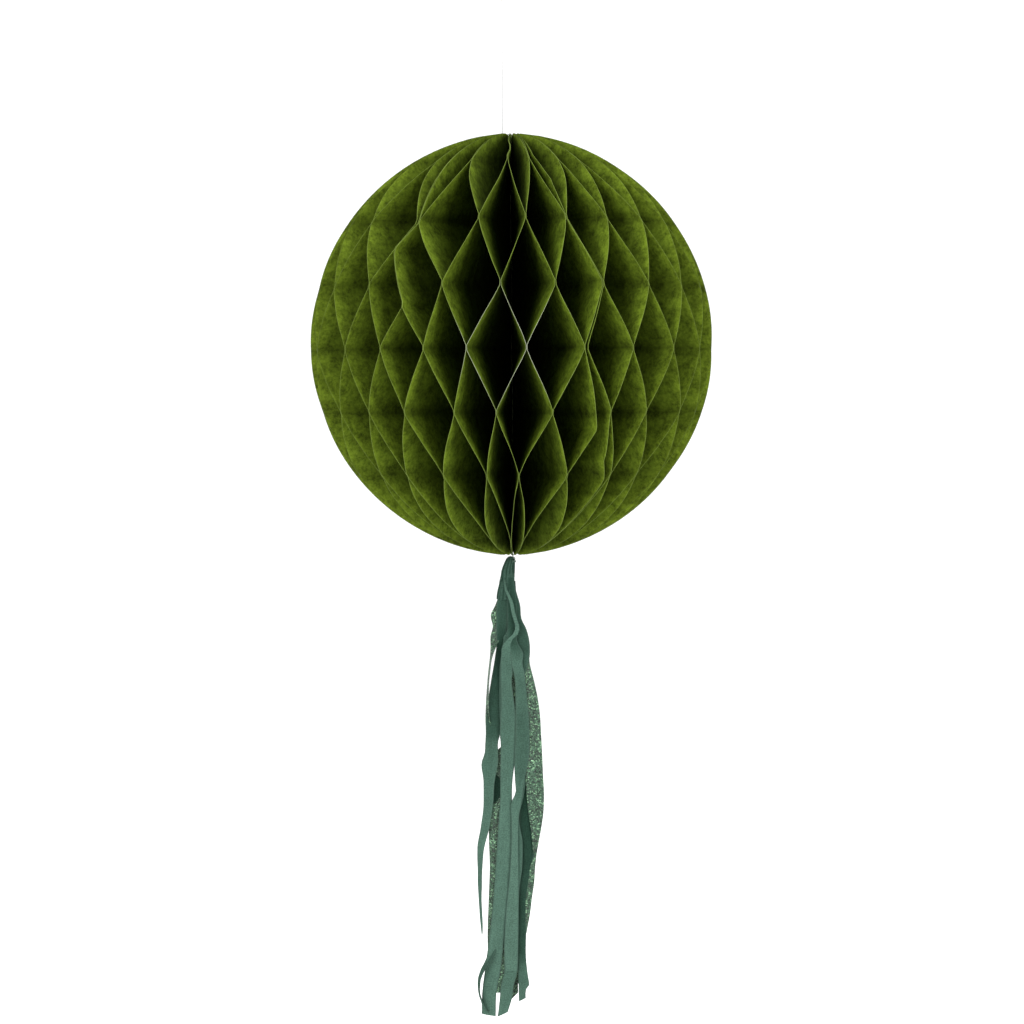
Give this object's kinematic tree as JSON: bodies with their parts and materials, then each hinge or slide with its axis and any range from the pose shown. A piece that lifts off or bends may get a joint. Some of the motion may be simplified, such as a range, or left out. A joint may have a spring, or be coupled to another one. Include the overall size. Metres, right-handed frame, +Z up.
{
  "type": "paper honeycomb ball with tassel",
  "caption": "Round tissue-paper honeycomb ball that folds flat, hung on a white thread, with a long tassel of plain and glittered paper strips below.",
  "frame": {"origin": "inside of the hanging loop's top, where it rests on its hook", "axes": "+Z up along the thread, the ball's front faces -Y, the ball's axis is 4 mm towards +X"},
  "size_m": [0.1996, 0.1996, 0.5271],
  "materials": {
    "green_tissue": "matte tissue paper",
    "core_paper": "matte glued edge",
    "tape": "satin adhesive tape",
    "white_thread": "twisted cotton",
    "sage_tissue": "matte tissue paper",
    "glitter_paper": "glittered film"
  },
  "bodies": {
    "hanger": {"hanging_thread": "white_thread", "hang_loop": "white_thread"},
    "core": {"spine_core": "core_paper", "top_tie": "white_thread", "bottom_tie": "white_thread", "leaf_25": "green_tissue"},
    "leaf_01": {"leaf_01": "green_tissue"},
    "leaf_02": {"leaf_02": "green_tissue"},
    "leaf_03": {"leaf_03": "green_tissue"},
    "leaf_04": {"leaf_04": "green_tissue"},
    "leaf_05": {"leaf_05": "green_tissue"},
    "leaf_06": {"leaf_06": "green_tissue"},
    "leaf_07": {"leaf_07": "green_tissue"},
    "leaf_08": {"leaf_08": "green_tissue"},
    "leaf_09": {"leaf_09": "green_tissue"},
    "leaf_10": {"leaf_10": "green_tissue"},
    "leaf_11": {"leaf_11": "green_tissue"},
    "leaf_12": {"leaf_12": "green_tissue"},
    "leaf_13": {"leaf_13": "green_tissue"},
    "leaf_14": {"leaf_14": "green_tissue"},
    "leaf_15": {"leaf_15": "green_tissue"},
    "leaf_16": {"leaf_16": "green_tissue"},
    "leaf_17": {"leaf_17": "green_tissue"},
    "leaf_18": {"leaf_18": "green_tissue"},
    "leaf_19": {"leaf_19": "green_tissue"},
    "leaf_20": {"leaf_20": "green_tissue"},
    "leaf_21": {"leaf_21": "green_tissue"},
    "leaf_22": {"leaf_22": "green_tissue"},
    "leaf_23": {"leaf_23": "green_tissue"},
    "leaf_24": {"leaf_24": "green_tissue"},
    "leaf_26": {"leaf_26": "green_tissue"},
    "leaf_27": {"leaf_27": "green_tissue"},
    "leaf_28": {"leaf_28": "green_tissue"},
    "leaf_29": {"leaf_29": "green_tissue"},
    "leaf_30": {"leaf_30": "green_tissue"},
    "leaf_31": {"leaf_31": "green_tissue"},
    "leaf_32": {"leaf_32": "green_tissue"},
    "leaf_33": {"leaf_33": "green_tissue"},
    "leaf_34": {"leaf_34": "green_tissue"},
    "leaf_35": {"leaf_35": "green_tissue"},
    "leaf_36": {"leaf_36": "green_tissue"},
    "leaf_37": {"leaf_37": "green_tissue"},
    "leaf_38": {"leaf_38": "green_tissue"},
    "leaf_39": {"leaf_39": "green_tissue"},
    "leaf_40": {"leaf_40": "green_tissue"},
    "leaf_41": {"leaf_41": "green_tissue"},
    "leaf_42": {"leaf_42": "green_tissue"},
    "leaf_43": {"leaf_43": "green_tissue"},
    "leaf_44": {"leaf_44": "green_tissue"},
    "leaf_45": {"leaf_45": "green_tissue"},
    "leaf_46": {"leaf_46": "green_tissue"},
    "leaf_47": {"leaf_47": "green_tissue"},
    "leaf_48": {"leaf_48": "green_tissue"},
    "leaf_49": {"leaf_49": "green_tissue", "seam_tapes": "tape"},
    "link": {"link_loop": "white_thread"},
    "tassel": {"tassel_loop": "white_thread", "tassel_neck": "sage_tissue", "tissue_strips": "sage_tissue", "glitter_strips": "glitter_paper"}
  },
  "joints": [
    {"name": "ball_turn", "type": "hinge", "parent": "hanger", "child": "core", "pos_m": [0, 0, -0.086], "axis": [0, 0, 1], "continuous": true},
    {"name": "leaf_01_fold", "type": "hinge", "parent": "core", "child": "leaf_01", "pos_m": [0.004, 0, -0.19], "axis": [0, 0, 1], "range_deg": [0, 177.6], "deforming": ["leaf_01"]},
    {"name": "leaf_02_fold", "type": "hinge", "parent": "core", "child": "leaf_02", "pos_m": [0.004, 0, -0.19], "axis": [0, 0, 1], "range_deg": [0, 170.2], "deforming": ["leaf_02"]},
    {"name": "leaf_03_fold", "type": "hinge", "parent": "core", "child": "leaf_03", "pos_m": [0.004, 0, -0.19], "axis": [0, 0, 1], "range_deg": [0, 162.8], "deforming": ["leaf_03"]},
    {"name": "leaf_04_fold", "type": "hinge", "parent": "core", "child": "leaf_04", "pos_m": [0.004, 0, -0.19], "axis": [0, 0, 1], "range_deg": [0, 155.4], "deforming": ["leaf_04"]},
    {"name": "leaf_05_fold", "type": "hinge", "parent": "core", "child": "leaf_05", "pos_m": [0.004, 0, -0.19], "axis": [0, 0, 1], "range_deg": [0, 148], "deforming": ["leaf_05"]},
    {"name": "leaf_06_fold", "type": "hinge", "parent": "core", "child": "leaf_06", "pos_m": [0.004, 0, -0.19], "axis": [0, 0, 1], "range_deg": [0, 140.6], "deforming": ["leaf_06"]},
    {"name": "leaf_07_fold", "type": "hinge", "parent": "core", "child": "leaf_07", "pos_m": [0.004, 0, -0.19], "axis": [0, 0, 1], "range_deg": [0, 133.2], "deforming": ["leaf_07"]},
    {"name": "leaf_08_fold", "type": "hinge", "parent": "core", "child": "leaf_08", "pos_m": [0.004, 0, -0.19], "axis": [0, 0, 1], "range_deg": [0, 125.8], "deforming": ["leaf_08"]},
    {"name": "leaf_09_fold", "type": "hinge", "parent": "core", "child": "leaf_09", "pos_m": [0.004, 0, -0.19], "axis": [0, 0, 1], "range_deg": [0, 118.4], "deforming": ["leaf_09"]},
    {"name": "leaf_10_fold", "type": "hinge", "parent": "core", "child": "leaf_10", "pos_m": [0.004, 0, -0.19], "axis": [0, 0, 1], "range_deg": [0, 111], "deforming": ["leaf_10"]},
    {"name": "leaf_11_fold", "type": "hinge", "parent": "core", "child": "leaf_11", "pos_m": [0.004, 0, -0.19], "axis": [0, 0, 1], "range_deg": [0, 103.6], "deforming": ["leaf_11"]},
    {"name": "leaf_12_fold", "type": "hinge", "parent": "core", "child": "leaf_12", "pos_m": [0.004, 0, -0.19], "axis": [0, 0, 1], "range_deg": [0, 96.2], "deforming": ["leaf_12"]},
    {"name": "leaf_13_fold", "type": "hinge", "parent": "core", "child": "leaf_13", "pos_m": [0.004, 0, -0.19], "axis": [0, 0, 1], "range_deg": [0, 88.8], "deforming": ["leaf_13"]},
    {"name": "leaf_14_fold", "type": "hinge", "parent": "core", "child": "leaf_14", "pos_m": [0.004, 0, -0.19], "axis": [0, 0, 1], "range_deg": [0, 81.4], "deforming": ["leaf_14"]},
    {"name": "leaf_15_fold", "type": "hinge", "parent": "core", "child": "leaf_15", "pos_m": [0.004, 0, -0.19], "axis": [0, 0, 1], "range_deg": [0, 74], "deforming": ["leaf_15"]},
    {"name": "leaf_16_fold", "type": "hinge", "parent": "core", "child": "leaf_16", "pos_m": [0.004, 0, -0.19], "axis": [0, 0, 1], "range_deg": [0, 66.6], "deforming": ["leaf_16"]},
    {"name": "leaf_17_fold", "type": "hinge", "parent": "core", "child": "leaf_17", "pos_m": [0.004, 0, -0.19], "axis": [0, 0, 1], "range_deg": [0, 59.2], "deforming": ["leaf_17"]},
    {"name": "leaf_18_fold", "type": "hinge", "parent": "core", "child": "leaf_18", "pos_m": [0.004, 0, -0.19], "axis": [0, 0, 1], "range_deg": [0, 51.8], "deforming": ["leaf_18"]},
    {"name": "leaf_19_fold", "type": "hinge", "parent": "core", "child": "leaf_19", "pos_m": [0.004, 0, -0.19], "axis": [0, 0, 1], "range_deg": [0, 44.4], "deforming": ["leaf_19"]},
    {"name": "leaf_20_fold", "type": "hinge", "parent": "core", "child": "leaf_20", "pos_m": [0.004, 0, -0.19], "axis": [0, 0, 1], "range_deg": [0, 37], "deforming": ["leaf_20"]},
    {"name": "leaf_21_fold", "type": "hinge", "parent": "core", "child": "leaf_21", "pos_m": [0.004, 0, -0.19], "axis": [0, 0, 1], "range_deg": [0, 29.6], "deforming": ["leaf_21"]},
    {"name": "leaf_22_fold", "type": "hinge", "parent": "core", "child": "leaf_22", "pos_m": [0.004, 0, -0.19], "axis": [0, 0, 1], "range_deg": [0, 22.2], "deforming": ["leaf_22"]},
    {"name": "leaf_23_fold", "type": "hinge", "parent": "core", "child": "leaf_23", "pos_m": [0.004, 0, -0.19], "axis": [0, 0, 1], "range_deg": [0, 14.8], "deforming": ["leaf_23"]},
    {"name": "leaf_24_fold", "type": "hinge", "parent": "core", "child": "leaf_24", "pos_m": [0.004, 0, -0.19], "axis": [0, 0, 1], "range_deg": [0, 7.4], "deforming": ["leaf_24"]},
    {"name": "leaf_26_fold", "type": "hinge", "parent": "core", "child": "leaf_26", "pos_m": [0.004, 0, -0.19], "axis": [0, 0, 1], "range_deg": [-7.4, 0], "deforming": ["leaf_26"]},
    {"name": "leaf_27_fold", "type": "hinge", "parent": "core", "child": "leaf_27", "pos_m": [0.004, 0, -0.19], "axis": [0, 0, 1], "range_deg": [-14.8, 0], "deforming": ["leaf_27"]},
    {"name": "leaf_28_fold", "type": "hinge", "parent": "core", "child": "leaf_28", "pos_m": [0.004, 0, -0.19], "axis": [0, 0, 1], "range_deg": [-22.2, 0], "deforming": ["leaf_28"]},
    {"name": "leaf_29_fold", "type": "hinge", "parent": "core", "child": "leaf_29", "pos_m": [0.004, 0, -0.19], "axis": [0, 0, 1], "range_deg": [-29.6, 0], "deforming": ["leaf_29"]},
    {"name": "leaf_30_fold", "type": "hinge", "parent": "core", "child": "leaf_30", "pos_m": [0.004, 0, -0.19], "axis": [0, 0, 1], "range_deg": [-37, 0], "deforming": ["leaf_30"]},
    {"name": "leaf_31_fold", "type": "hinge", "parent": "core", "child": "leaf_31", "pos_m": [0.004, 0, -0.19], "axis": [0, 0, 1], "range_deg": [-44.4, 0], "deforming": ["leaf_31"]},
    {"name": "leaf_32_fold", "type": "hinge", "parent": "core", "child": "leaf_32", "pos_m": [0.004, 0, -0.19], "axis": [0, 0, 1], "range_deg": [-51.8, 0], "deforming": ["leaf_32"]},
    {"name": "leaf_33_fold", "type": "hinge", "parent": "core", "child": "leaf_33", "pos_m": [0.004, 0, -0.19], "axis": [0, 0, 1], "range_deg": [-59.2, 0], "deforming": ["leaf_33"]},
    {"name": "leaf_34_fold", "type": "hinge", "parent": "core", "child": "leaf_34", "pos_m": [0.004, 0, -0.19], "axis": [0, 0, 1], "range_deg": [-66.6, 0], "deforming": ["leaf_34"]},
    {"name": "leaf_35_fold", "type": "hinge", "parent": "core", "child": "leaf_35", "pos_m": [0.004, 0, -0.19], "axis": [0, 0, 1], "range_deg": [-74, 0], "deforming": ["leaf_35"]},
    {"name": "leaf_36_fold", "type": "hinge", "parent": "core", "child": "leaf_36", "pos_m": [0.004, 0, -0.19], "axis": [0, 0, 1], "range_deg": [-81.4, 0], "deforming": ["leaf_36"]},
    {"name": "leaf_37_fold", "type": "hinge", "parent": "core", "child": "leaf_37", "pos_m": [0.004, 0, -0.19], "axis": [0, 0, 1], "range_deg": [-88.8, 0], "deforming": ["leaf_37"]},
    {"name": "leaf_38_fold", "type": "hinge", "parent": "core", "child": "leaf_38", "pos_m": [0.004, 0, -0.19], "axis": [0, 0, 1], "range_deg": [-96.2, 0], "deforming": ["leaf_38"]},
    {"name": "leaf_39_fold", "type": "hinge", "parent": "core", "child": "leaf_39", "pos_m": [0.004, 0, -0.19], "axis": [0, 0, 1], "range_deg": [-103.6, 0], "deforming": ["leaf_39"]},
    {"name": "leaf_40_fold", "type": "hinge", "parent": "core", "child": "leaf_40", "pos_m": [0.004, 0, -0.19], "axis": [0, 0, 1], "range_deg": [-111, 0], "deforming": ["leaf_40"]},
    {"name": "leaf_41_fold", "type": "hinge", "parent": "core", "child": "leaf_41", "pos_m": [0.004, 0, -0.19], "axis": [0, 0, 1], "range_deg": [-118.4, 0], "deforming": ["leaf_41"]},
    {"name": "leaf_42_fold", "type": "hinge", "parent": "core", "child": "leaf_42", "pos_m": [0.004, 0, -0.19], "axis": [0, 0, 1], "range_deg": [-125.8, 0], "deforming": ["leaf_42"]},
    {"name": "leaf_43_fold", "type": "hinge", "parent": "core", "child": "leaf_43", "pos_m": [0.004, 0, -0.19], "axis": [0, 0, 1], "range_deg": [-133.2, 0], "deforming": ["leaf_43"]},
    {"name": "leaf_44_fold", "type": "hinge", "parent": "core", "child": "leaf_44", "pos_m": [0.004, 0, -0.19], "axis": [0, 0, 1], "range_deg": [-140.6, 0], "deforming": ["leaf_44"]},
    {"name": "leaf_45_fold", "type": "hinge", "parent": "core", "child": "leaf_45", "pos_m": [0.004, 0, -0.19], "axis": [0, 0, 1], "range_deg": [-148, 0], "deforming": ["leaf_45"]},
    {"name": "leaf_46_fold", "type": "hinge", "parent": "core", "child": "leaf_46", "pos_m": [0.004, 0, -0.19], "axis": [0, 0, 1], "range_deg": [-155.4, 0], "deforming": ["leaf_46"]},
    {"name": "leaf_47_fold", "type": "hinge", "parent": "core", "child": "leaf_47", "pos_m": [0.004, 0, -0.19], "axis": [0, 0, 1], "range_deg": [-162.8, 0], "deforming": ["leaf_47"]},
    {"name": "leaf_48_fold", "type": "hinge", "parent": "core", "child": "leaf_48", "pos_m": [0.004, 0, -0.19], "axis": [0, 0, 1], "range_deg": [-170.2, 0], "deforming": ["leaf_48"]},
    {"name": "leaf_49_fold", "type": "hinge", "parent": "core", "child": "leaf_49", "pos_m": [0.004, 0, -0.19], "axis": [0, 0, 1], "range_deg": [-177.6, 0], "deforming": ["leaf_49", "leaf_25"]},
    {"name": "tassel_swing_forward", "type": "hinge", "parent": "core", "child": "link", "pos_m": [0.004, 0, -0.29478], "axis": [1, 0, 0], "range_deg": [-45, 45]},
    {"name": "tassel_swing_side", "type": "hinge", "parent": "link", "child": "tassel", "pos_m": [0.004, 0, -0.29628], "axis": [0, 1, 0], "range_deg": [-45, 45]}
  ],
  "couplings": [
    {"joint": "leaf_01_fold", "follows": "leaf_49_fold", "ratio": -1},
    {"joint": "leaf_02_fold", "follows": "leaf_49_fold", "ratio": -0.95833},
    {"joint": "leaf_03_fold", "follows": "leaf_49_fold", "ratio": -0.91667},
    {"joint": "leaf_04_fold", "follows": "leaf_49_fold", "ratio": -0.875},
    {"joint": "leaf_05_fold", "follows": "leaf_49_fold", "ratio": -0.83333},
    {"joint": "leaf_06_fold", "follows": "leaf_49_fold", "ratio": -0.79167},
    {"joint": "leaf_07_fold", "follows": "leaf_49_fold", "ratio": -0.75},
    {"joint": "leaf_08_fold", "follows": "leaf_49_fold", "ratio": -0.70833},
    {"joint": "leaf_09_fold", "follows": "leaf_49_fold", "ratio": -0.66667},
    {"joint": "leaf_10_fold", "follows": "leaf_49_fold", "ratio": -0.625},
    {"joint": "leaf_11_fold", "follows": "leaf_49_fold", "ratio": -0.58333},
    {"joint": "leaf_12_fold", "follows": "leaf_49_fold", "ratio": -0.54167},
    {"joint": "leaf_13_fold", "follows": "leaf_49_fold", "ratio": -0.5},
    {"joint": "leaf_14_fold", "follows": "leaf_49_fold", "ratio": -0.45833},
    {"joint": "leaf_15_fold", "follows": "leaf_49_fold", "ratio": -0.41667},
    {"joint": "leaf_16_fold", "follows": "leaf_49_fold", "ratio": -0.375},
    {"joint": "leaf_17_fold", "follows": "leaf_49_fold", "ratio": -0.33333},
    {"joint": "leaf_18_fold", "follows": "leaf_49_fold", "ratio": -0.29167},
    {"joint": "leaf_19_fold", "follows": "leaf_49_fold", "ratio": -0.25},
    {"joint": "leaf_20_fold", "follows": "leaf_49_fold", "ratio": -0.20833},
    {"joint": "leaf_21_fold", "follows": "leaf_49_fold", "ratio": -0.16667},
    {"joint": "leaf_22_fold", "follows": "leaf_49_fold", "ratio": -0.125},
    {"joint": "leaf_23_fold", "follows": "leaf_49_fold", "ratio": -0.083333},
    {"joint": "leaf_24_fold", "follows": "leaf_49_fold", "ratio": -0.041667},
    {"joint": "leaf_26_fold", "follows": "leaf_49_fold", "ratio": 0.041667},
    {"joint": "leaf_27_fold", "follows": "leaf_49_fold", "ratio": 0.083333},
    {"joint": "leaf_28_fold", "follows": "leaf_49_fold", "ratio": 0.125},
    {"joint": "leaf_29_fold", "follows": "leaf_49_fold", "ratio": 0.16667},
    {"joint": "leaf_30_fold", "follows": "leaf_49_fold", "ratio": 0.20833},
    {"joint": "leaf_31_fold", "follows": "leaf_49_fold", "ratio": 0.25},
    {"joint": "leaf_32_fold", "follows": "leaf_49_fold", "ratio": 0.29167},
    {"joint": "leaf_33_fold", "follows": "leaf_49_fold", "ratio": 0.33333},
    {"joint": "leaf_34_fold", "follows": "leaf_49_fold", "ratio": 0.375},
    {"joint": "leaf_35_fold", "follows": "leaf_49_fold", "ratio": 0.41667},
    {"joint": "leaf_36_fold", "follows": "leaf_49_fold", "ratio": 0.45833},
    {"joint": "leaf_37_fold", "follows": "leaf_49_fold", "ratio": 0.5},
    {"joint": "leaf_38_fold", "follows": "leaf_49_fold", "ratio": 0.54167},
    {"joint": "leaf_39_fold", "follows": "leaf_49_fold", "ratio": 0.58333},
    {"joint": "leaf_40_fold", "follows": "leaf_49_fold", "ratio": 0.625},
    {"joint": "leaf_41_fold", "follows": "leaf_49_fold", "ratio": 0.66667},
    {"joint": "leaf_42_fold", "follows": "leaf_49_fold", "ratio": 0.70833},
    {"joint": "leaf_43_fold", "follows": "leaf_49_fold", "ratio": 0.75},
    {"joint": "leaf_44_fold", "follows": "leaf_49_fold", "ratio": 0.79167},
    {"joint": "leaf_45_fold", "follows": "leaf_49_fold", "ratio": 0.83333},
    {"joint": "leaf_46_fold", "follows": "leaf_49_fold", "ratio": 0.875},
    {"joint": "leaf_47_fold", "follows": "leaf_49_fold", "ratio": 0.91667},
    {"joint": "leaf_48_fold", "follows": "leaf_49_fold", "ratio": 0.95833}
  ]
}
